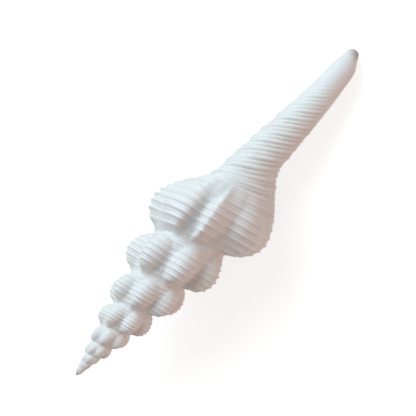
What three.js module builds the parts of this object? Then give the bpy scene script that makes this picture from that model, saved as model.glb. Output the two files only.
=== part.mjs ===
// A spindle shell: a right-handed coil of ribbed whorls with a long canal, lying with its mouth down.
import * as THREE from 'three';

// Driving dimensions, in millimetres. Growth is counted in turns: turn 0 is the middle of the back
// of the last whorl, and each earlier whorl is one turn less.
const shellLength = 160;
const lipTurn = 0.3;
const modelledTurns = 7.5;

// Growth laws: distance of a whorl's upper seam from the apex, and its radius on a rib, blunt at the apex
const seam = { distance: 64.2, growth: 0.3175, slowing: 0.0125 };
const girth = { radius: 21.6, growth: 0.22, slowing: 0.019, apex: 0.9 };

// Section of a whorl on a rib, as a share of its radius: level is 0 at the upper seam, 1 at the lower
const sectionLevel = [0, 0.1, 0.25, 0.45, 0.6, 0.75, 0.87, 1, 1.2, 1.4, 1.7, 2.2];
const sectionShare = [0.61, 0.79, 0.945, 1, 0.985, 0.925, 0.85, 0.75, 0.57, 0.37, 0.16, 0];

// Ribs from seam to seam, closer together and lower on the last whorl
const ribs = { perTurn: 6.47, extra: 1.43, rate: 1.56, shift: -0.16, slant: 0.12, narrowing: 1.3 };
const ribDepth = { early: 0.2, late: 0.15, earlyTurn: -0.7, lateTurn: -0.1 };
const ribLevels = { start: 0, full: 0.3, fade: 0.75, end: 1.3 };

// Cords: low ridges along the coil, counted by level on a whorl and by distance on the canal
const cords = { perWhorl: 8, onBase: 5, perCanal: 62.5, lead: 45, share: 0.024, firstTurn: -2.2 };
const cordFade = { start: 98, end: 138 };

// The canal: a tapering tube, slightly bent, with a slit along the side of the mouth
const canal = { neckLevel: 1.4, rootAxial: 98, rootRadius: 8.3, endAxial: 151, endRadius: 4, fillet: 3 };
const canalBend = { start: 86, full: 146, offset: 3 };
const slit = { start: 98, full: 108, end: 150, width: 1.8, floor: 0.5, rise: 0.15, runOut: 12 };

// The mouth: a space that runs back inside the last whorl
const mouth = { lip: 1.2, turns: 0.55, canalTurns: 0.2, seamDrop: 1.6, smoothTurns: 0.05 };

// How the shell lies: turned about its length, then tipped along it, in degrees
const rest = { roll: -14.7, pitch: 10.1 };

// Facets
const columnsPerTurn = 36;
const earlyRows = 7;
const lateRows = 2 * cords.perWhorl;
const baseRows = 2 * cords.onBase;
const tipRows = 3;
const mouthColumns = 11;
const mouthRows = 17;

const { clamp, degToRad, lerp, smoothstep } = THREE.MathUtils;
const fullTurn = 2 * Math.PI;
const section = new THREE.CubicInterpolant(sectionLevel, sectionShare, 1);

const seamAxial = (turn) => seam.distance * Math.exp(seam.growth * turn - seam.slowing * turn ** 2);
const grownRadius = (turn) => girth.radius * Math.exp(girth.growth * turn - girth.slowing * turn ** 2);
const whorlRadius = (turn) => Math.hypot(grownRadius(turn), girth.apex);
const whorlHeight = (turn) => seamAxial(turn + 1) - seamAxial(turn);
const axialAt = (turn, level) => seamAxial(turn) + level * whorlHeight(turn);
const levelAt = (turn, axial) => (axial - seamAxial(turn)) / whorlHeight(turn);

// 1 on the crest of a rib and 0 in the furrow between two
function ribShape(turn, level) {
  const crowding = ribs.extra / ribs.rate * (Math.exp(ribs.rate * turn) - 1);
  const phase = ribs.perTurn * turn + crowding + ribs.shift + ribs.slant * (level - 0.5);
  return 1 - (Math.sin(Math.PI * phase) ** 2) ** ribs.narrowing;
}

// Depth of the furrows as a share of the whorl's radius
function furrowDepth(turn, level) {
  const rise = smoothstep(level, ribLevels.start, ribLevels.full);
  const fade = 1 - smoothstep(level, ribLevels.fade, ribLevels.end);
  const late = smoothstep(turn, ribDepth.earlyTurn, ribDepth.lateTurn);
  return lerp(ribDepth.early, ribDepth.late, late) * rise * fade;
}

function whorlSurface(turn, level, crest) {
  const share = section.evaluate(Math.min(level, sectionLevel.at(-1)))[0];
  return whorlRadius(turn) * (share - furrowDepth(turn, level) * (1 - crest));
}

function canalRadius(axial) {
  const along = (axial - canal.rootAxial) / (canal.endAxial - canal.rootAxial);
  const closing = clamp((axial - canal.endAxial) / (shellLength - canal.endAxial), 0, 1);
  return lerp(canal.rootRadius, canal.endRadius, along) * Math.sqrt(1 - closing ** 2);
}

// The slit's floor lies deep where the last turn begins and rises to the tube beside it
function slitFloor(turn, axial) {
  const depth = (1 - slit.floor) * (1 - smoothstep(axial, slit.end - slit.runOut, slit.end));
  return 1 - depth * (1 - smoothstep(turn, lipTurn - 1, lipTurn - 1 + slit.rise));
}

// The last turn closes on itself in the canal, except for the slit
function wrappedTurn(turn, axial) {
  const closing = smoothstep(axial, slit.end - slit.runOut, slit.end);
  const width = slit.width * smoothstep(axial, slit.start, slit.full) * (1 - closing);
  const slitTurns = width / (fullTurn * canalRadius(axial));
  return turn - slitTurns * Math.max(turn - lipTurn + 1, 0);
}

function smoothMax(a, b, blend) {
  const mix = Math.max(blend - Math.abs(a - b), 0) / blend;
  return Math.max(a, b) + mix * mix * blend / 4;
}

function outerRadius(turn, axial, ribShare = 1) {
  const level = levelAt(turn, axial);
  const whorl = whorlSurface(turn, level, ribShare * ribShape(turn, level));
  if (level <= 1) return whorl;
  const tube = canalRadius(axial) * slitFloor(turn, axial);
  return smoothMax(whorl, tube, Math.min(canal.fillet, tube));
}

// Distance along the canal after a number of cords below the neck
function cordAxial(turn, count) {
  return (axialAt(turn, canal.neckLevel) + cords.lead) * Math.exp(count / cords.perCanal) - cords.lead;
}

// Rows lie on the crests and the grooves of the cords in turn
function cordHeight(turn, axial, row) {
  const fade = 1 - smoothstep(axial, cordFade.start, cordFade.end);
  return (row % 2 ? -0.5 : 0.5) * cords.share * whorlRadius(turn) * fade;
}

const positions = [];
const triangles = [];

function addPoint(turn, axial, radius) {
  const angle = fullTurn * turn;
  const bend = canalBend.offset * smoothstep(axial, canalBend.start, canalBend.full);
  positions.push(new THREE.Vector3(axial, -bend - radius * Math.sin(angle), radius * Math.cos(angle)));
  return positions.length - 1;
}

function addTriangle(a, b, c) {
  if (a !== b && b !== c && c !== a) triangles.push(a, b, c);
}

// Faces between two rows of points, always taking the shorter diagonal
function addStrip(left, right) {
  const gap = (a, b) => positions[a].distanceToSquared(positions[b]);
  let i = 0;
  let j = 0;
  while (i < left.length - 1 || j < right.length - 1) {
    const leftDone = i === left.length - 1;
    const rightDone = j === right.length - 1;
    const stepLeft = rightDone || (!leftDone && gap(left[i + 1], right[j]) <= gap(left[i], right[j + 1]));
    addTriangle(left[i], right[j], stepLeft ? left[i + 1] : right[j + 1]);
    if (stepLeft) i += 1;
    else j += 1;
  }
}

// One column of points down a whorl, from its upper seam to its lower seam
function addWhorlColumn(turn, upper) {
  const corded = turn >= cords.firstTurn;
  const rows = corded ? lateRows : earlyRows;
  const column = [upper];
  for (let row = 1; row <= rows; row += 1) {
    const axial = axialAt(turn, row / rows);
    const cord = corded ? cordHeight(turn, axial, row) : 0;
    column.push(addPoint(turn, axial, outerRadius(turn, axial) + cord));
  }
  return column;
}

// The base and the canal below a whorl's lower seam, to the end of the cords
function addBaseColumn(turn) {
  const column = [];
  const addRow = (axial, row) => {
    const radius = outerRadius(turn, axial) + cordHeight(turn, axial, row);
    column.push(addPoint(wrappedTurn(turn, axial), axial, radius));
  };
  for (let row = 1; row <= baseRows; row += 1) {
    addRow(axialAt(turn, lerp(1, canal.neckLevel, row / baseRows)), row);
  }
  for (let row = 1; cordAxial(turn, row / 2) < cordFade.end; row += 1) {
    addRow(cordAxial(turn, row / 2), row);
  }
  addRow((cordFade.end + slit.end) / 2, 0);
  return column;
}

function addTipColumn(turn) {
  const column = [];
  for (let row = 0; row < tipRows; row += 1) {
    const axial = lerp(slit.end, shellLength, Math.sin(Math.PI / 2 * row / tipRows));
    column.push(addPoint(turn, axial, canalRadius(axial)));
  }
  return [...column, canalTip];
}

// The outside, column by column along the coil
const apex = addPoint(0, 0, 0);
const canalTip = addPoint(0, shellLength, 0);
const columnCount = Math.round(modelledTurns * columnsPerTurn);
const baseColumn = columnCount - columnsPerTurn;
const whorls = [];
const bases = [];
const tips = [];
for (let column = 0; column <= columnCount; column += 1) {
  const turn = lipTurn + (column - columnCount) / columnsPerTurn;
  whorls.push(addWhorlColumn(turn, column < columnsPerTurn ? apex : whorls[column - columnsPerTurn].at(-1)));
  if (column >= baseColumn) {
    bases[column] = addBaseColumn(turn);
    tips[column] = column === columnCount ? tips[baseColumn] : addTipColumn(turn);
  }
}
for (let column = 0; column < columnCount; column += 1) {
  const next = column + 1;
  const start = next === columnsPerTurn ? whorls[0].slice(0, -1) : [];
  const left = column >= baseColumn ? [...bases[column], ...tips[column]] : [];
  const right = column >= baseColumn ? [...bases[next], ...tips[next]] : [];
  addStrip([...whorls[column], ...left], [...start, ...whorls[next], ...right]);
}

const mouthTop = (turn) => seamAxial(turn) + mouth.seamDrop;
const mouthEnd = slit.end - slit.runOut / 2;

// The inner edge of the lip, one point beside each point of its outer edge
function addLipEdge() {
  const rim = [...whorls[columnCount], ...bases[columnCount]].map((point) => positions[point].x);
  const inside = rim.filter((axial) => axial > mouthTop(lipTurn) && axial < mouthEnd);
  return inside.map((axial) => {
    const wall = Math.max(outerRadius(lipTurn, axial) - mouth.lip, outerRadius(lipTurn - 1, axial));
    return addPoint(wrappedTurn(lipTurn, axial), axial, wall);
  });
}

// Two columns inside the mouth: one on the whorl before, one on the inside of the outer wall
function addMouthColumns(step) {
  const share = step / mouthColumns;
  const inner = [];
  const outer = [];
  for (let row = 0; row <= mouthRows; row += 1) {
    const axial = lerp(mouthTop(lipTurn - share * mouth.turns), mouthEnd, row / mouthRows);
    const depth = share * lerp(mouth.turns, mouth.canalTurns, smoothstep(axial, slit.start, slit.full));
    const turn = lipTurn - depth;
    const innerRadius = outerRadius(turn - 1, axial);
    const ribShare = 1 - smoothstep(depth, 0, mouth.smoothTurns);
    const room = Math.max(outerRadius(turn, axial, ribShare) - mouth.lip - innerRadius, 0);
    const wall = innerRadius + room * Math.sqrt(1 - share ** 2);
    const closed = row === 0 || row === mouthRows || step === mouthColumns;
    inner.push(addPoint(turn - 1, axial, innerRadius));
    outer.push(closed ? inner.at(-1) : addPoint(wrappedTurn(turn, axial), axial, wall));
  }
  return { inner, outer };
}

// The mouth, from its edge to the place deep inside where its walls meet
const seamPoint = whorls[columnCount][0];
const slitEnd = tips[baseColumn][0];
let previous = {
  inner: [seamPoint, ...bases[baseColumn], slitEnd],
  outer: [seamPoint, ...addLipEdge(), slitEnd],
};
addStrip([...whorls[columnCount], ...bases[columnCount], slitEnd], previous.outer);
for (let step = 1; step <= mouthColumns; step += 1) {
  const current = addMouthColumns(step);
  addStrip(previous.outer, current.outer);
  addStrip(current.inner, previous.inner);
  previous = current;
}

const corners = triangles.map((point) => positions[point]);
const geometry = new THREE.BufferGeometry().setFromPoints(corners);
geometry.computeVertexNormals();

const shell = new THREE.Mesh(
  geometry,
  new THREE.MeshStandardMaterial({ color: 0xe3dad3, roughness: 0.5, metalness: 0 }),
);
shell.name = 'shell';

// Laid down on its mouth, then moved so that the box around it stands centred on the origin
const lying = new THREE.Group();
lying.rotation.set(degToRad(rest.roll), degToRad(rest.pitch), 0, 'YXZ');
lying.add(shell);
const group = new THREE.Group();
group.add(lying);
const box = new THREE.Box3().setFromObject(group, true);
const middle = box.getCenter(new THREE.Vector3());
lying.position.set(-middle.x, -middle.y, -box.min.z);

export default group;
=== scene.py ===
import math

import bpy
import numpy as np
from mathutils import Matrix, Vector


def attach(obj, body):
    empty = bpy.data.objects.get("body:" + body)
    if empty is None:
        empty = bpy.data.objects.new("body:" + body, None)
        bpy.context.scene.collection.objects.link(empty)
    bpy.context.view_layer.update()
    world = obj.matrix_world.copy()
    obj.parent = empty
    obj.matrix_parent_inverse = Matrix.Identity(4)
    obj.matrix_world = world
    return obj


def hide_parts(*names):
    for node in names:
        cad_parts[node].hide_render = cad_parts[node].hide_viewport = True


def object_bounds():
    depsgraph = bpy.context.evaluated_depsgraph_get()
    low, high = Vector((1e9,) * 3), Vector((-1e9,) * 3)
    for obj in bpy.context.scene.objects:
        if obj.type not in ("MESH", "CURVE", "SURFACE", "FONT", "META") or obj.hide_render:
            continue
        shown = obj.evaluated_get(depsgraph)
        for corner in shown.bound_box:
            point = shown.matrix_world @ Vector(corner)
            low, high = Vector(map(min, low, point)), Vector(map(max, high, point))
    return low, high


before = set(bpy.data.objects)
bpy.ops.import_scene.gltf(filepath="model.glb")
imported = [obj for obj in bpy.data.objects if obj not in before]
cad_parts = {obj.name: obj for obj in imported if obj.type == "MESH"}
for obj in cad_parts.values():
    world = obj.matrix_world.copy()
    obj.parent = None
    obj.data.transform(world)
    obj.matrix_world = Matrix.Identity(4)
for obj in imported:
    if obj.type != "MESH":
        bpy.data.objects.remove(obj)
cadBox = [list(corner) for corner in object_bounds()]
scene = bpy.context.scene
millimetre = 0.001
fullTurn = 2 * math.pi
print("frame loaded")

# the shell's form: lengths in mm, growth in turns with 0 in the middle of the back of the last whorl,
# levels from 0 at a whorl's upper seam to 1 at its lower seam; a pair says where a change starts and
# where it is full, and a third value says how large it is, apart from the three numbers of a set of waves
form = {
    "length": 160.0, "lipTurn": 0.3, "firstTurn": -9.0, "roll": -14.7, "pitch": 10.1, "wornFlat": 0.02,
    "seamDistance": 64.2, "seamGrowth": 0.3175, "seamSlowing": 0.0125,
    "girth": 21.6, "girthGrowth": 0.22, "girthSlowing": 0.019, "apexGirth": 1.15,
    # a whorl's section on a rib and in a furrow, as shares of its girth
    "sectionLevel": [0, 0.1, 0.25, 0.45, 0.6, 0.75, 0.87, 1, 1.2, 1.4, 1.7, 2.2],
    "crestShare": [0.62, 0.80, 0.945, 1.015, 1, 0.935, 0.86, 0.755, 0.58, 0.38, 0.16, 0],
    "furrowShare": [0.57, 0.625, 0.71, 0.79, 0.805, 0.80, 0.77, 0.705, 0.545, 0.37, 0.16, 0],
    "ribsPerTurn": 6.47, "ribCrowding": 1.43, "ribCrowdRate": 1.56, "ribShift": -0.2, "slantEnd": 1.2,
    "ribTop": (-0.05, 0.18), "ribFoot": 0.2, "ridgeRound": 0.25,
    "upperPinch": 6.0, "lowerPinch": 3.5, "pinchPower": 3,
    "knobWidth": 0.42, "knobPower": 2.3, "knobRound": 0.2, "knobMargin": 0.02,
    "ribUneven": 0.05, "unevenWaves": (2.3, 0.7, 0.9),
    # how the ribs and cords change along the coil, at the turns of the first row
    "coilTurn": [-8, -6, -4, -2, -0.6, -0.3, -0.175, -0.1, -0.055, -0.03, 0.002, 0.08, 0.145, 0.2, 0.25],
    "ribOffset": [0, 0, 0, 0, 0, 0, 0, 0, -0.05, -0.064, 0, 0.06, 0, 0, 0],
    "ribSlant": [0.12, 0.12, 0.12, 0.12, 0.12, 0.12, 0.12, 0.12, 0.12, 0.12, 0.15, 0.5, 0.6, 0.3, 0.12],
    "ribSkew": [0, 0, 0.07, 0.07, 0.07, 0.05, -0.1, -0.2, -0.2, 0, 0.2, 0.1, -0.2, -0.2, 0],
    "ribRound": [0.2, 0.2, 0.12, 0.12, 0.12, 0.12, 0.2, 0.2, 0.2, 0.2, 0.2, 0.35, 0.3, 0.3, 0.3],
    "ribFull": [0.8, 0.85, 1.05, 1.15, 1.1, 0.85, 0.6, 0.6, 0.5, 0.8, 1.4, 1, 0.8, 0.8, 0.8],
    "ribDepth": [0.25, 0.7, 1, 1.15, 1.15, 1, 0.45, 0.6, 0.8, 0.95, 1.1, 1.2, 1, 0.35, 0.2],
    "ribHeight": [1, 1, 1, 1, 1, 1, 1, 1, 1, 1, 1, 1, 0.65, 0.7, 1],
    "ribSharp": [0, 0, 0.2, 0.25, 0.25, 0.25, 0.2, 0.4, 0.3, 0.2, 0.6, 0.7, 0.2, 0, 0],
    "ribEnd": [1.02, 1.02, 1.02, 1.02, 1.02, 1.05, 1.25, 1.25, 1.25, 1.25, 1.2, 1.2, 1.2, 1.2, 1.2],
    "knobShare": [0, 0.3, 0.8, 1, 1, 0.5, 0, 0, 0, 0, 0, 0, 0, 0, 0],
    "cordLift": [0, 0.2, 0.6, 1.25, 1.35, 1.3, 1.2, 1.15, 1.15, 1.15, 1.1, 1, 0.9, 0.8, 0.8],
    "coneShare": [0.85, 0.5, 0.1, 0, 0, 0, 0, 0, 0, 0, 0, 0, 0, 0, 0],
    "seamWave": 0.1, "seamRest": 0.8, "rampEnd": 0.1,
    "upperShift": (0, 0.3), "lowerShift": (0.75, 1), "baseShift": (1, 1.2),
    # main cords with a thread in each groove
    "cordsPerWhorl": 8, "cordsOnBase": 3, "canalCords": 0.24, "canalCrowding": 400.0,
    "cordShare": 0.04, "cordSharp": 2.2, "cordSink": 0.45, "baseCords": 1.45, "baseLevels": (0.85, 1.2),
    "cordStart": (0, 0.07), "cordFade": (112.0, 150.0), "canalSoft": (90.0, 106.0, 0.3),
    "furrowCalm": 0.7, "calmEnd": (0.2, 0.55, 0.6),
    "cordWander": 0.15, "baseWander": 0.35, "wanderWaves": (3.1, 5, 17),
    "spireThreads": 0.5, "lastThreads": 0.3, "baseThreads": 0.85, "threadSharp": 3,
    "lastWhorl": (-0.6, -0.3), "threadLevels": (0.7, 1.0), "threadFade": (-3.2, -1.6),
    # the canal, its worn tip and its slit
    "neckLevel": 1.4, "canalRoot": 98.0, "canalRadius": 8.3, "canalEnd": 151.0, "canalEndRadius": 4.6,
    "canalFillet": 3.0, "canalBend": (86.0, 146.0, 3.0), "tipBend": (153.0, 158.5, -0.8),
    "tipAxial": [151, 153.6, 155.9, 158.1, 159, 159.6, 159.9, 160],
    "tipShare": [1, 0.87, 0.69, 0.525, 0.44, 0.3, 0.16, 0],
    "tipStain": (155.5, 159.0), "stainTurn": 0.12, "stainAround": 0.4,
    "slitStart": 98.0, "slitFull": 108.0, "slitEnd": 150.0, "slitRunOut": 12.0,
    "slitWidth": 1.8, "slitFloor": 0.5, "slitRise": 0.15,
    # the mouth, with faint ridges on its lining
    "lip": 1.2, "mouthTurns": 0.55, "mouthCanalTurns": 0.2, "seamDrop": 1.6, "smoothTurns": 0.05,
    "liraShare": 0.008, "liraRise": (0.01, 0.05), "liraFade": (0.15, 0.3), "liraRoom": (1, 4),
}
meshing = {
    "columnsPerTurn": 150, "rowsPerCord": 8, "canalRowsPerCord": 8, "midRowsPerCord": 5,
    "earlyRowsPerCord": 2, "midTurn": -3.0, "earlyTurn": -5.5, "tipRows": 14,
    "lipRows": 3, "mouthColumns": 34, "mouthRows": 76,
}


def smoothStep(value, low, high):
    share = np.clip((value - low) / (high - low), 0, 1)
    return share * share * (3 - 2 * share)


def curveThrough(knots, values, at):
    knots = np.array(knots, float)
    values = np.array(values, float)
    slopes = np.gradient(values, knots)
    at = np.clip(at, knots[0], knots[-1])
    left = np.clip(np.searchsorted(knots, at) - 1, 0, len(knots) - 2)
    step = knots[left + 1] - knots[left]
    t = (at - knots[left]) / step
    return ((2 * t ** 3 - 3 * t ** 2 + 1) * values[left] + (t ** 3 - 2 * t ** 2 + t) * step * slopes[left]
            + (3 * t ** 2 - 2 * t ** 3) * values[left + 1] + (t ** 3 - t ** 2) * step * slopes[left + 1])


def smoothMax(a, b, blend):
    mix = np.maximum(blend - np.abs(a - b), 0) / blend
    return np.maximum(a, b) + mix * mix * blend / 4


def seamAxial(turn):
    return form["seamDistance"] * np.exp(form["seamGrowth"] * turn - form["seamSlowing"] * turn ** 2)


def whorlRadius(turn):
    grown = form["girth"] * np.exp(form["girthGrowth"] * turn - form["girthSlowing"] * turn ** 2)
    return np.hypot(grown, form["apexGirth"])


def whorlHeight(turn):
    return seamAxial(turn + 1) - seamAxial(turn)


def levelAt(turn, axial):
    return (axial - seamAxial(turn)) / whorlHeight(turn)


def alongCoil(name, turn):                     # reads one of the rows that follow the coil
    return np.interp(turn, form["coilTurn"], form[name])


def ribPhase(turn, level):                     # whole numbers are the crests of ribs without skew
    crowding = form["ribCrowding"] / form["ribCrowdRate"] * (np.exp(form["ribCrowdRate"] * turn) - 1)
    along = form["ribsPerTurn"] * turn + crowding + form["ribShift"] + alongCoil("ribOffset", turn)
    return along + alongCoil("ribSlant", turn) * (np.clip(level, 0, form["slantEnd"]) - 0.5)


def ribAcross(turn, level):                    # 0 on a rib's crest, 0.5 and -0.5 in the furrows beside it
    phase = ribPhase(turn, level)
    skew = alongCoil("ribSkew", turn)
    fromCrest = phase - np.floor(phase + 0.5) + skew
    return 0.5 * fromCrest / np.where(fromCrest < 0, 0.5 - skew, 0.5 + skew)


def ribCrest(turn, level):                     # 1 on a rib's crest, 0 in the furrow
    across = ribAcross(turn, level)
    soft = alongCoil("ribRound", turn)
    wave = np.sqrt(np.cos(np.pi * across) ** 2 + soft ** 2)
    rounded = (wave - soft) / (np.sqrt(1 + soft ** 2) - soft)
    edge = form["ridgeRound"]
    ridge = 1 - (np.hypot(np.sin(np.pi * across), edge) - edge) / (math.hypot(1, edge) - edge)
    return rounded + (ridge - rounded) * alongCoil("ribSharp", turn)


def ribKnob(turn, level):                      # a rib of the spire: a knob that narrows to both seams
    margin = form["knobMargin"]
    soft = form["knobRound"]
    fromMiddle = 2 * np.clip(level, margin, 1 - margin) - 1
    half = form["knobWidth"] * np.sqrt(1 - np.abs(fromMiddle) ** form["knobPower"])
    rise = 1 - (ribAcross(turn, level) / half) ** 2
    return (rise + np.hypot(rise, soft)) / (1 + math.hypot(1, soft))


def ribbed(turn, level, ribShare=1.0):         # a whorl's surface without its cords
    fromMiddle = 2 * np.clip(level, 0, 1) - 1
    pinch = np.where(fromMiddle < 0, form["upperPinch"], form["lowerPinch"])
    pinch = alongCoil("ribFull", turn) + pinch * np.abs(fromMiddle) ** form["pinchPower"]
    crest = ribCrest(turn, level) ** pinch
    crest = crest + (ribKnob(turn, level) - crest) * alongCoil("knobShare", turn)
    crest = crest * alongCoil("ribHeight", turn) * ribShare
    end = alongCoil("ribEnd", turn)
    crest = crest * smoothStep(level, *form["ribTop"]) * (1 - smoothStep(level, end - form["ribFoot"], end))
    phase = ribPhase(turn, level)
    quick, lead, slow = form["unevenWaves"]
    uneven = 1 - form["ribUneven"] * (0.5 + 0.5 * np.sin(quick * phase + lead) * np.sin(slow * phase))
    top = curveThrough(form["sectionLevel"], form["crestShare"], level)
    depth = top - curveThrough(form["sectionLevel"], form["furrowShare"], level)
    depth = depth * alongCoil("ribDepth", turn)
    radius = whorlRadius(turn) * (top - depth * (1 - crest * uneven))
    cone = whorlRadius(turn - 1) + (whorlRadius(turn) - whorlRadius(turn - 1)) * np.clip(level, 0, 1)
    return radius + (cone - radius) * alongCoil("coneShare", turn)


def canalRadius(axial):
    along = (axial - form["canalRoot"]) / (form["canalEnd"] - form["canalRoot"])
    taper = form["canalRadius"] + (form["canalEndRadius"] - form["canalRadius"]) * np.minimum(along, 1)
    return taper * curveThrough(form["tipAxial"], form["tipShare"], axial)


def slitOpen(axial):                           # 1 along the slit, 0 where it has run out before the tip
    return 1 - smoothStep(axial, form["slitEnd"] - form["slitRunOut"], form["slitEnd"])


def slitFloor(turn, axial):                    # deep where the last turn begins, then up to the tube
    depth = (1 - form["slitFloor"]) * slitOpen(axial)
    begin = form["lipTurn"] - 1
    return 1 - depth * (1 - smoothStep(turn, begin, begin + form["slitRise"]))


def wrappedTurn(turn, axial):                  # in the canal the last turn closes, but for the slit
    width = form["slitWidth"] * smoothStep(axial, form["slitStart"], form["slitFull"]) * slitOpen(axial)
    slitTurns = width / (fullTurn * np.maximum(canalRadius(axial), 1))
    return turn - slitTurns * np.maximum(turn - form["lipTurn"] + 1, 0)


def neckAxial(turn):
    return seamAxial(turn) + form["neckLevel"] * whorlHeight(turn)


def canalCount(axial):                         # cords along the canal, a little closer towards its tip
    crowding = form["canalCrowding"]
    return form["canalCords"] * crowding * np.exp((axial - form["canalRoot"]) / crowding)


def canalAxial(count):                         # the way back from canalCount
    crowding = form["canalCrowding"]
    return form["canalRoot"] + crowding * np.log(count / (form["canalCords"] * crowding))


def cordCount(turn, axial):                    # whole numbers are the crests of the main cords
    level = levelAt(turn, axial)
    perBase = form["cordsOnBase"] / (form["neckLevel"] - 1)
    onCanal = canalCount(np.maximum(axial, neckAxial(turn))) - canalCount(neckAxial(turn))
    onBase = perBase * np.clip(level - 1, 0, form["neckLevel"] - 1)
    return form["cordsPerWhorl"] * np.minimum(level, 1) + onBase + onCanal


def cords(turn, axial):                        # 1 on a main cord, less on the finer thread in each groove
    wave = np.cos(fullTurn * cordCount(turn, axial))
    threads = form["spireThreads"]
    threads = threads + (form["lastThreads"] - threads) * smoothStep(turn, *form["lastWhorl"])
    onBase = smoothStep(levelAt(turn, axial), *form["threadLevels"])
    threads = threads + (form["baseThreads"] - threads) * onBase
    threads = threads * smoothStep(turn, *form["threadFade"])
    return (0.5 + 0.5 * wave) ** form["cordSharp"] + threads * np.maximum(-wave, 0) ** form["threadSharp"]


def cordRelief(turn, axial, crest):            # weaker in the furrows and on the canal
    count = cordCount(turn, axial)
    level = levelAt(turn, axial)
    onBase = smoothStep(level, *form["baseLevels"])
    start, full, share = form["calmEnd"]
    calm = (1 - crest) * (form["furrowCalm"] - share * smoothStep(level, start, full))
    lift = (1 - calm) * (1 - onBase) + form["baseCords"] * onBase
    start, full, share = form["canalSoft"]
    lift = lift * (1 - share * smoothStep(axial, start, full))
    byCord, byTurn, fine = form["wanderWaves"]
    wander = np.sin(byCord * count + byTurn * turn) * np.sin(fine * turn + count)
    wander = 1 + (form["cordWander"] + form["baseWander"] * onBase) * wander
    rise = smoothStep(level, *form["cordStart"])
    fade = 1 - smoothStep(axial, *form["cordFade"])
    size = form["cordShare"] * whorlRadius(turn) * alongCoil("cordLift", turn) * lift * wander * rise * fade
    return size * (cords(turn, axial) - form["cordSink"])


def seamShift(turn):                           # the seam dips below each rib of the whorl before
    crest = ribCrest(turn - 1, 1.0)
    return form["seamWave"] * whorlHeight(turn - 1) * (crest - form["seamRest"])


def skin(turn, axial, ribShare=1.0, cordShare=1.0):
    level = levelAt(turn, axial)
    crest = ribCrest(turn, level) * ribShare
    whorl = ribbed(turn, level, ribShare)
    seamLevel = seamShift(turn) / whorlHeight(turn)
    seam = ribbed(turn - 1, 1 + seamShift(turn) / whorlHeight(turn - 1))
    ramp = np.clip(1 - (level - seamLevel) / form["rampEnd"], 0, 1) ** 2
    whorl = whorl + (seam - whorl) * ramp      # rises from the seam, which follows the ribs above it
    tube = canalRadius(axial) * slitFloor(turn, axial)
    blend = np.clip(tube, 1e-3, form["canalFillet"])
    onCanal = (level > 1) & (axial > seamAxial(form["lipTurn"]))
    radius = np.where(onCanal, smoothMax(whorl, tube, blend), whorl)
    return radius + cordShare * cordRelief(turn, axial, crest)


def bendAt(axial):
    bend = 0
    for start, full, offset in (form["canalBend"], form["tipBend"]):
        bend = bend + offset * smoothStep(axial, start, full)
    return bend


# where dust settles and shade is painted in: furrows between ribs, grooves between cords and both sides of
# a seam
dustAndShadePlaces = {
    "furrow": 0.25, "furrowRise": (0.05, 0.3), "furrowFade": (0.8, 1.35),
    "groove": 0.3, "moreOnBase": 0.5, "grooveRise": (0.02, 0.15),
    "seam": 0.4, "belowSeam": (0, 0.16), "aboveSeam": (0.9, 1), "seamEnd": 1.02,
}


# dust and painted shade: darker in the furrows, in the grooves between cords and along the seams
def dustAndShadeAt(turn, axial):
    level = levelAt(turn, axial)
    furrow = (1 - ribCrest(turn, level)) * smoothStep(level, *dustAndShadePlaces["furrowRise"])
    furrow = furrow * (1 - smoothStep(level, *dustAndShadePlaces["furrowFade"]))
    groove = (1 - cords(turn, axial)).clip(0) * (1 - smoothStep(axial, *form["cordFade"]))
    onBase = smoothStep(level, *form["baseLevels"])
    groove = groove * (dustAndShadePlaces["groove"] + dustAndShadePlaces["moreOnBase"] * onBase)
    groove = groove * smoothStep(level, *dustAndShadePlaces["grooveRise"])
    below = 1 - smoothStep(level, *dustAndShadePlaces["belowSeam"])
    above = smoothStep(level, *dustAndShadePlaces["aboveSeam"]) * (level <= dustAndShadePlaces["seamEnd"])
    seam = np.maximum(below, above)
    return np.clip(dustAndShadePlaces["furrow"] * furrow + groove + dustAndShadePlaces["seam"] * seam, 0, 1)


def stainAt(turn, axial):                      # the worn end of the canal is stained, most on one side
    facing = np.cos(fullTurn * (turn - form["stainTurn"])).clip(0)
    around = form["stainAround"]
    return smoothStep(axial, *form["tipStain"]) * (around + (1 - around) * facing)


# points and faces of the shell; growth is kept for each face corner, because a seam belongs to two turns
points = []
dustAndShadeValues = []
insides = []
stains = []
growths = []
faces = []
cornerGrowth = []


def addPoints(turn, axial, radius, inside=0.0, growth=None):
    axial = np.atleast_1d(axial)
    turn = np.broadcast_to(turn, axial.shape)
    angle = fullTurn * turn
    first = len(points)
    across = -bendAt(axial) - radius * np.sin(angle)
    points.extend(np.stack([axial, across, radius * np.cos(angle)], -1).tolist())
    growth = turn if growth is None else np.broadcast_to(growth, axial.shape)
    dustAndShadeValues.extend(dustAndShadeAt(growth, axial).tolist())
    insides.extend(np.broadcast_to(inside, axial.shape).tolist())
    stains.extend(stainAt(turn, axial).tolist())
    growths.extend(growth.tolist())
    return list(range(first, len(points)))


def addFace(corners, growth):                  # a corner that comes twice is left out
    kept = [i for i, corner in enumerate(corners) if corners.index(corner) == i]
    if len(kept) > 2:
        faces.append([corners[i] for i in kept])
        cornerGrowth.append([growth[i] for i in kept])


def gap(a, b):
    return sum((p - q) ** 2 for p, q in zip(points[a], points[b]))


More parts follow.
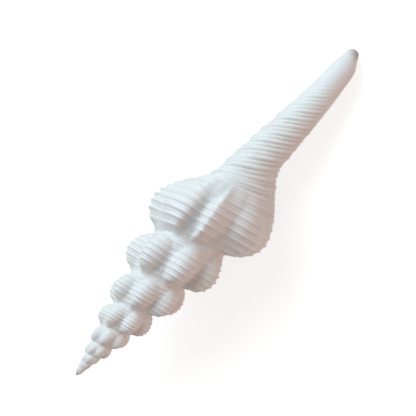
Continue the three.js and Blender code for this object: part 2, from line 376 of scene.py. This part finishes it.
def joinColumns(left, right, leftGrowth=None, rightGrowth=None):
    leftGrowth = [growths[i] if leftGrowth is None else leftGrowth for i in left]
    rightGrowth = [growths[i] if rightGrowth is None else rightGrowth for i in right]
    if len(left) == len(right):
        for i in range(len(left) - 1):
            addFace([left[i], right[i], right[i + 1], left[i + 1]],
                    [leftGrowth[i], rightGrowth[i], rightGrowth[i + 1], leftGrowth[i + 1]])
        return
    i = j = 0
    while i < len(left) - 1 or j < len(right) - 1:
        stepLeft = j == len(right) - 1
        if not stepLeft and i < len(left) - 1:
            stepLeft = gap(left[i + 1], right[j]) <= gap(left[i], right[j + 1])
        if stepLeft:
            addFace([left[i], right[j], left[i + 1]], [leftGrowth[i], rightGrowth[j], leftGrowth[i + 1]])
            i += 1
        else:
            addFace([left[i], right[j], right[j + 1]], [leftGrowth[i], rightGrowth[j], rightGrowth[j + 1]])
            j += 1


def whorlColumn(turn, upper):                  # from the point on the upper seam to the lower seam
    perCord = meshing["rowsPerCord"]
    if turn < meshing["earlyTurn"]:
        perCord = meshing["earlyRowsPerCord"]
    elif turn < meshing["midTurn"]:
        perCord = meshing["midRowsPerCord"]
    rows = perCord * form["cordsPerWhorl"]
    level = np.arange(1, rows + 1) / rows
    axial = seamAxial(turn) + level * whorlHeight(turn)
    axial = axial + seamShift(turn) * (1 - smoothStep(level, *form["upperShift"]))
    axial = axial + seamShift(turn + 1) * smoothStep(level, *form["lowerShift"])
    return [upper] + addPoints(turn, axial, skin(turn, axial))


def baseColumn(turn):                          # below the last whorl's lower seam, to the slit's end
    baseRows = meshing["rowsPerCord"] * form["cordsOnBase"]
    level = 1 + (form["neckLevel"] - 1) * np.arange(1, baseRows + 1) / baseRows
    base = seamAxial(turn) + level * whorlHeight(turn)
    base = base + seamShift(turn + 1) * (1 - smoothStep(level, *form["baseShift"]))
    first = canalCount(neckAxial(turn))
    last = canalCount(form["slitEnd"])
    canal = canalAxial(first + (last - first) * np.arange(1, canalRows + 1) / (canalRows + 1))
    axial = np.concatenate([base, canal])
    return addPoints(wrappedTurn(turn, axial), axial, skin(turn, axial), growth=turn)


def tipColumn(turn):
    end = form["slitEnd"]
    rows = np.arange(meshing["tipRows"]) / meshing["tipRows"]
    axial = end + (form["length"] - end) * np.sin(math.pi / 2 * rows)
    return addPoints(turn, axial, skin(turn, axial), growth=turn) + [canalTip]


# the outside, column by column along the coil
perTurn = meshing["columnsPerTurn"]
columnCount = round((form["lipTurn"] - form["firstTurn"]) * perTurn)
firstBase = columnCount - perTurn
farSide = form["lipTurn"] - 0.5                # half a turn from the lip
canalCordCount = canalCount(form["slitEnd"]) - canalCount(neckAxial(farSide))
canalRows = round(meshing["canalRowsPerCord"] * canalCordCount)
apex = addPoints(form["firstTurn"], 0.0, 0.0)[0]
canalTip = addPoints(farSide, form["length"], 0.0)[0]
whorls = []
tails = {}
turns = []
for column in range(columnCount + 1):
    turn = form["lipTurn"] + (column - columnCount) / perTurn
    turns.append(turn)
    whorls.append(whorlColumn(turn, apex if column < perTurn else whorls[column - perTurn][-1]))
    if column >= firstBase:
        tip = tails[firstBase][1] if column == columnCount else tipColumn(turn)
        tails[column] = (baseColumn(turn), tip)
for column in range(columnCount):
    left = list(whorls[column])
    right = list(whorls[column + 1])
    if column >= firstBase:
        left += tails[column][0] + tails[column][1]
        right += tails[column + 1][0] + tails[column + 1][1]
    if column + 1 == perTurn:
        right = whorls[0][:-1] + right
    joinColumns(left, right, turns[column], turns[column + 1])
print("outside:", len(points), "points,", len(faces), "faces")

# the mouth: a rounded lip, then the two walls that run back inside the last whorl until they meet
mouthEnd = form["slitEnd"] - form["slitRunOut"] / 2


def mouthTop(turn):
    return seamAxial(turn) + form["seamDrop"]


def lipEdges():
    turn = form["lipTurn"]
    rim = np.array([points[i][0] for i in whorls[columnCount] + tails[columnCount][0]])
    axial = rim[(rim > mouthTop(turn)) & (rim < mouthEnd)]
    outer = skin(turn, axial)
    inner = np.maximum(outer - form["lip"], skin(turn - 1, axial, cordShare=0.0))
    edges = []
    for row in range(1, meshing["lipRows"] + 1):
        angle = math.pi * row / (meshing["lipRows"] + 1)
        radius = (outer + inner) / 2 + (outer - inner) / 2 * math.cos(angle)
        swell = math.sin(angle) * (outer - inner) / 2 / (fullTurn * outer)
        edges.append(addPoints(wrappedTurn(turn, axial) + swell, axial, radius, 0.5, turn))
    edges.append(addPoints(wrappedTurn(turn, axial), axial, inner, 1.0, turn))
    return edges


def mouthColumns(step):                        # one on the whorl before, one inside the outer wall
    share = step / meshing["mouthColumns"]
    rows = np.arange(meshing["mouthRows"] + 1) / meshing["mouthRows"]
    top = mouthTop(form["lipTurn"] - share * form["mouthTurns"])
    axial = top + (mouthEnd - top) * rows
    onCanal = smoothStep(axial, form["slitStart"], form["slitFull"])
    depth = share * (form["mouthTurns"] + (form["mouthCanalTurns"] - form["mouthTurns"]) * onCanal)
    turn = form["lipTurn"] - depth
    unglazed = 1 - smoothStep(depth, 0, form["smoothTurns"])
    innerRadius = skin(turn - 1, axial, 1.0, unglazed)
    room = np.maximum(skin(turn, axial, unglazed, unglazed) - form["lip"] - innerRadius, 0)
    lirae = form["liraShare"] * form["girth"] * np.cos(fullTurn * cordCount(turn, axial))
    lirae = lirae * smoothStep(depth, *form["liraRise"]) * (1 - smoothStep(depth, *form["liraFade"]))
    lirae = lirae * smoothStep(room, *form["liraRoom"])
    wall = innerRadius + room * math.sqrt(1 - share ** 2) - lirae
    inner = addPoints(turn - 1, axial, innerRadius, 1.0)
    if step == meshing["mouthColumns"]:
        return inner, inner
    between = slice(1, -1)
    outer = addPoints(wrappedTurn(turn, axial)[between], axial[between], wall[between], 1.0, turn[between])
    return inner, [inner[0]] + outer + [inner[-1]]


seamPoint = whorls[columnCount][0]
slitPoint = tails[firstBase][1][0]
rim = whorls[columnCount] + tails[columnCount][0] + [slitPoint]
for edge in lipEdges():
    edge = [seamPoint] + edge + [slitPoint]
    joinColumns(rim, edge)
    rim = edge
innerEdge = [seamPoint] + tails[firstBase][0] + [slitPoint]
for step in range(1, meshing["mouthColumns"] + 1):
    inner, outer = mouthColumns(step)
    joinColumns(rim, outer)
    joinColumns(inner, innerEdge)
    rim, innerEdge = outer, inner
print("with the mouth:", len(points), "points,", len(faces), "faces")

# laid down on its mouth; the apex is the CAD solid's lowest point along X
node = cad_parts["shell"]
apexPlace = min((vertex.co for vertex in node.data.vertices), key=lambda place: place.x)
roll = Matrix.Rotation(math.radians(form["roll"]), 3, "X")
lying = Matrix.Rotation(math.radians(form["pitch"]), 3, "Y") @ roll
places = np.array(points) * millimetre @ np.array(lying).T + np.array(apexPlace)
places[:, 2] = np.maximum(places[:, 2], form["wornFlat"] * millimetre)    # nothing goes into the floor

shellMesh = bpy.data.meshes.new("spindleShell")
shellMesh.from_pydata(places.tolist(), [], faces)
shellMesh.polygons.foreach_set("use_smooth", [True] * len(faces))
# the mask of dust and painted shade in the hollows goes to the mesh with the other point values
for name, values in (("dustAndShade", dustAndShadeValues), ("inside", insides), ("stain", stains)):
    shellMesh.attributes.new(name, "FLOAT", "POINT").data.foreach_set("value", values)
growthCorners = [growth for corners in cornerGrowth for growth in corners]
shellMesh.attributes.new("growth", "FLOAT", "CORNER").data.foreach_set("value", growthCorners)
shellMesh.validate()
shellPiece = bpy.data.objects.new("spindleShell", shellMesh)
scene.collection.objects.link(shellPiece)
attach(shellPiece, "root")
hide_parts("shell")
print("shell mesh:", sum(len(face) - 2 for face in faces), "triangles")


class Wire:                                    # an output socket that takes Python's own arithmetic
    def __init__(self, tree, socket):
        self.tree = tree
        self.socket = socket

    def node(self, kind, settings=None, sockets=None, output=0):
        made = self.tree.nodes.new(kind)
        for name, value in (settings or {}).items():
            setattr(made, name, value)
        for name, value in (sockets or {}).items():
            if isinstance(value, Wire):
                self.tree.links.new(value.socket, made.inputs[name])
            else:
                made.inputs[name].default_value = value
        return Wire(self.tree, made.outputs[output])

    def maths(self, operation, first, second):
        return self.node("ShaderNodeMath", {"operation": operation}, {0: first, 1: second})

    def __add__(self, other):
        return self.maths("ADD", self, other)

    def __sub__(self, other):
        return self.maths("SUBTRACT", self, other)

    def __rsub__(self, other):
        return self.maths("SUBTRACT", other, self)

    def __mul__(self, other):
        return self.maths("MULTIPLY", self, other)

    __radd__ = __add__
    __rmul__ = __mul__


# chalky white outside with dust and painted shade in its furrows, grooves and seams, glossy inside the
# mouth, fine lines and bands of growth
finish = {
    "chalk": (0.77, 0.76, 0.75), "porcelain": (0.81, 0.80, 0.79),
    # the colour and amount of the dust and painted shade in the hollows
    "dustAndShadeColour": (0.60, 0.57, 0.53), "dustAndShadeShare": 0.35, "dustAndShadePatches": 0.8, "dustAndShadeLeast": 0.6,
    "stain": (0.30, 0.25, 0.20), "stainPatches": 0.8, "stainLeast": 0.3,
    "mottleScale": 55.0, "mottleDetail": 4.0, "mottleShare": 0.05,
    "grainScale": 900.0, "grainDetail": 3.0, "grainHeight": 0.35, "grainRoughness": 0.15,
    "linesPerTurn": 260.0, "lineDetail": 2.0, "lineWander": 4.0, "lineHeight": 0.5,
    "bandsPerTurn": 14.0, "bandDetail": 3.0, "bandShare": 0.05, "bandHeight": 0.5,
    "bumpStrength": 0.6, "bumpDistance": 0.00012, "roughness": 0.5, "dustRoughness": 0.1,
    "insideRoughness": 0.22, "insideCoat": 0.35, "coatRoughness": 0.15,
    "glowWeight": 0.12, "glowRadius": (1.0, 0.8, 0.7), "glowDepth": 0.0008,
}


def shellFinish():
    material = bpy.data.materials.new("whiteShell")
    material.use_nodes = True
    tree = material.node_tree
    shader = tree.nodes["Principled BSDF"]
    bench = Wire(tree, shader.outputs[0])

    def kept(name):                            # a value that the mesh keeps for its points or corners
        return bench.node("ShaderNodeAttribute", {"attribute_name": name}, output="Fac")

    def blend(share, first, second):
        return bench.node("ShaderNodeMix", {"data_type": "RGBA"}, {0: share, 6: first, 7: second}, 2)

    dustAndShade, inside, stain, growth = (kept(name) for name in ("dustAndShade", "inside", "stain", "growth"))
    place = bench.node("ShaderNodeTexCoord", output="Object")
    mottle = bench.node("ShaderNodeTexNoise", sockets={
        "Vector": place, "Scale": finish["mottleScale"], "Detail": finish["mottleDetail"]})
    grain = bench.node("ShaderNodeTexNoise", sockets={
        "Vector": place, "Scale": finish["grainScale"], "Detail": finish["grainDetail"]})
    lines = bench.node("ShaderNodeTexNoise", {"noise_dimensions": "1D"}, {
        "W": growth * finish["linesPerTurn"] + mottle * finish["lineWander"],
        "Scale": 1.0, "Detail": finish["lineDetail"]})
    bands = bench.node("ShaderNodeTexNoise", {"noise_dimensions": "1D"}, {
        "W": growth * finish["bandsPerTurn"], "Scale": 1.0, "Detail": finish["bandDetail"]})

    outside = 1 - inside
    # painted shade with some dust: the hollows are mixed towards a darker, warmer colour, in patches
    dustAndShadeMix = dustAndShade * outside * (mottle * finish["dustAndShadePatches"] + finish["dustAndShadeLeast"]) * finish["dustAndShadeShare"]
    stained = stain * (mottle * finish["stainPatches"] + finish["stainLeast"])
    colour = blend(inside, (*finish["chalk"], 1), (*finish["porcelain"], 1))
    colour = blend(dustAndShadeMix, colour, (*finish["dustAndShadeColour"], 1))
    colour = blend(stained, colour, (*finish["stain"], 1))
    uneven = (bands - 0.5) * finish["bandShare"] + (mottle - 0.5) * finish["mottleShare"] + 1
    colour = bench.node("ShaderNodeVectorMath", {"operation": "SCALE"}, {"Vector": colour, "Scale": uneven})
    rough = finish["roughness"] + (grain - 0.5) * finish["grainRoughness"]
    rough = rough + dustAndShade * finish["dustRoughness"]
    rough = rough * outside + inside * finish["insideRoughness"]
    height = lines * finish["lineHeight"] * outside + grain * finish["grainHeight"] * outside
    height = height + bands * finish["bandHeight"]
    bump = bench.node("ShaderNodeBump", sockets={
        "Height": height, "Strength": finish["bumpStrength"], "Distance": finish["bumpDistance"]})
    coat = inside * finish["insideCoat"]
    links = {"Base Color": colour, "Roughness": rough, "Coat Weight": coat, "Normal": bump}
    for name, wire in links.items():
        tree.links.new(wire.socket, shader.inputs[name])
    shader.inputs["Coat Roughness"].default_value = finish["coatRoughness"]
    shader.inputs["Subsurface Weight"].default_value = finish["glowWeight"]
    shader.inputs["Subsurface Radius"].default_value = finish["glowRadius"]
    shader.inputs["Subsurface Scale"].default_value = finish["glowDepth"]
    return material


shellMesh.materials.append(shellFinish())
print("finish made")

# a plain pale floor that brightens its own shade a little
stand = {
    "size": 3.0, "colour": (0.92, 0.92, 0.92), "roughness": 0.8,
    "glowColour": (0.86, 0.97, 1.0), "glow": 0.55,
}
half = stand["size"] / 2
floorCorners = [(-half, -half, 0), (half, -half, 0), (half, half, 0), (-half, half, 0)]
floorMesh = bpy.data.meshes.new("floor")
floorMesh.from_pydata(floorCorners, [], [(0, 1, 2, 3)])
floor = bpy.data.objects.new("floor", floorMesh)
scene.collection.objects.link(floor)
floorMaterial = bpy.data.materials.new("paleFloor")
floorMaterial.use_nodes = True
floorShader = floorMaterial.node_tree.nodes["Principled BSDF"]
floorShader.inputs["Base Color"].default_value = (*stand["colour"], 1)
floorShader.inputs["Roughness"].default_value = stand["roughness"]
floorShader.inputs["Emission Color"].default_value = (*stand["glowColour"], 1)
floorShader.inputs["Emission Strength"].default_value = stand["glow"]
floorMesh.materials.append(floorMaterial)
floor.visible_diffuse = False                  # the floor throws no light back at the shell

# the picture: where the middle of the shell is, which way the shell runs, and how large it is
picture = {
    "width": 416, "middle": (214.8, 209.7), "mmPerPixel": 0.372, "turn": 40.66, "tilt": 3.0, "lean": 0.011,
    "lens": 120.0, "sensor": 36.0, "clipStart": 0.01,
}
tilt = math.radians(picture["tilt"])
along = Vector((math.cos(tilt), 0, math.sin(tilt)))
side = Vector((0, 1, 0))
along, side = along - picture["lean"] * side, side + picture["lean"] * along
turnInPicture = math.radians(picture["turn"])
toRight = lying @ (along * math.sin(turnInPicture) - side * math.cos(turnInPicture)).normalized()
toTop = lying @ (along * math.cos(turnInPicture) + side * math.sin(turnInPicture)).normalized()
toCamera = toRight.cross(toTop).normalized()
toTop = toCamera.cross(toRight)
pixel = picture["mmPerPixel"] * millimetre
distance = picture["width"] * pixel * picture["lens"] / picture["sensor"]
aim = apexPlace + lying @ Vector((form["length"] / 2 * millimetre, 0, 0))
aim = aim + toRight * (picture["width"] / 2 - picture["middle"][0]) * pixel
aim = aim + toTop * (picture["middle"][1] - picture["width"] / 2) * pixel
cameraData = bpy.data.cameras.new("camera")
cameraData.lens = picture["lens"]
cameraData.sensor_width = picture["sensor"]
cameraData.clip_start = picture["clipStart"]
camera = bpy.data.objects.new("camera", cameraData)
facing = Matrix((toRight, toTop, toCamera)).transposed().to_4x4()
camera.matrix_world = Matrix.Translation(aim + toCamera * distance) @ facing
scene.collection.objects.link(camera)
scene.camera = camera

# a soft cool window light from the upper left of the picture, a warm fill and a warm even surround
lamps = {
    "window": {
        "from": (-0.51, 0.61, 0.60), "away": 0.8, "size": 0.7, "watts": 7.4, "colour": (0.72, 0.90, 1.0)},
    "fill": {
        "from": (0.82, -0.42, 0.26), "away": 0.9, "size": 0.5, "watts": 2.5, "colour": (1.0, 0.70, 0.60)},
}
surround = {"colour": (1.0, 0.86, 0.80), "strength": 0.34}
centre = Vector(np.mean(cadBox, axis=0))
for name, lamp in lamps.items():
    lampData = bpy.data.lights.new(name, "AREA")
    lampData.size = lamp["size"]
    lampData.energy = lamp["watts"]
    lampData.color = lamp["colour"]
    lampObject = bpy.data.objects.new(name, lampData)
    across, upward, nearer = lamp["from"]
    direction = (toRight * across + toTop * upward + toCamera * nearer).normalized()
    lampObject.location = centre + direction * lamp["away"]
    lampObject.rotation_euler = direction.to_track_quat("Z", "Y").to_euler()
    scene.collection.objects.link(lampObject)
world = bpy.data.worlds.new("studio")
world.use_nodes = True
background = world.node_tree.nodes["Background"]
background.inputs["Color"].default_value = (*surround["colour"], 1)
background.inputs["Strength"].default_value = surround["strength"]
scene.world = world
scene.view_settings.view_transform = "Standard"
print("floor, camera and light made")
